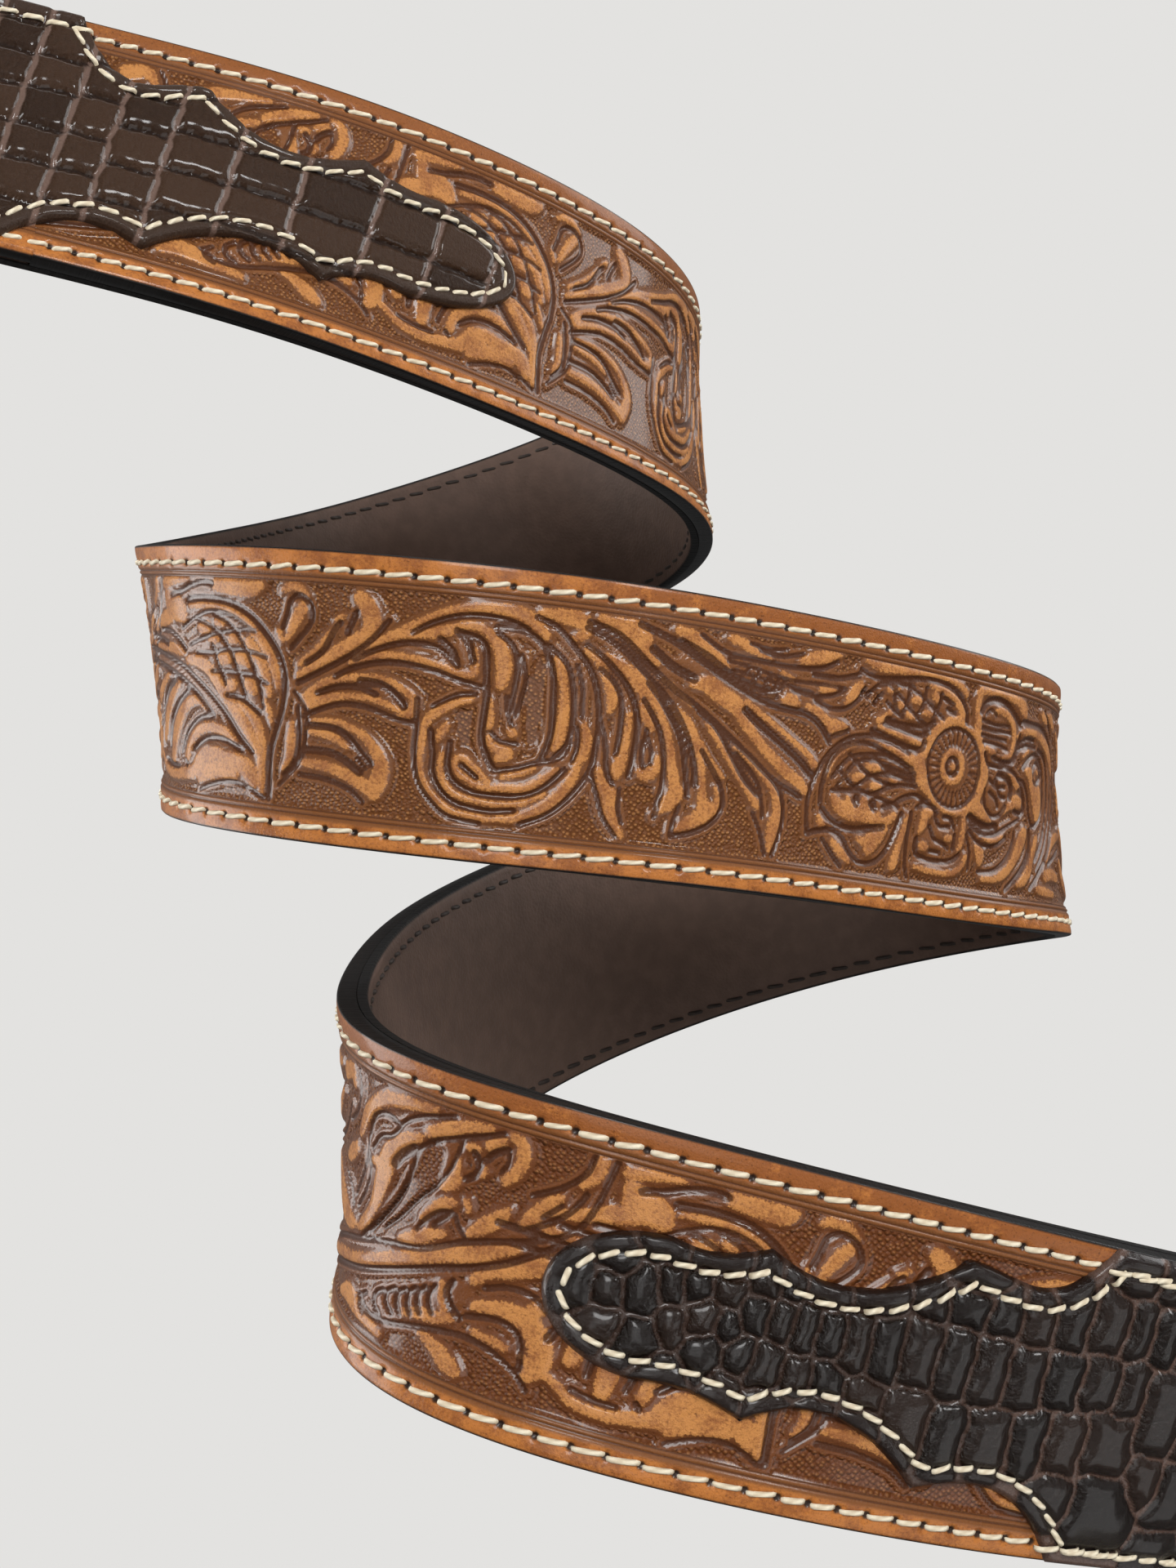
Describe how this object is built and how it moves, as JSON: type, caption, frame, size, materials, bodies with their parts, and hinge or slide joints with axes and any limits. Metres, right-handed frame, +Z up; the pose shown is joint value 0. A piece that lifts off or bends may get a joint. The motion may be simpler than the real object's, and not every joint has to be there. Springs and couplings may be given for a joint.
{
  "type": "embossed leather belt",
  "caption": "Tooled tan leather belt with scalloped reptile-print overlays at both ends, hanging in a loose coil from its buckle.",
  "frame": {"origin": "middle of the buckle's bar, round which the strap is folded", "axes": "+Z up as the belt hangs, +X along the camera's right, the way the belt leads off, +Y away from the camera"},
  "size_m": [0.3478, 0.1963, 0.2305],
  "materials": {
    "tooled_leather": "tan with dark antiqued recesses, satin",
    "lining_leather": "matt dark brown",
    "brown_reptile_leather": "reptile print, soft satin",
    "black_reptile_leather": "reptile print, glossy",
    "thread": "waxed cream thread",
    "buckle_steel": "satin"
  },
  "bodies": {
    "root": {"tooled_strap": "tooled_leather", "lining": "lining_leather", "buckle_end_overlay": "brown_reptile_leather", "tip_end_overlay": "black_reptile_leather", "buckle": "buckle_steel"}
  },
  "joints": []
}
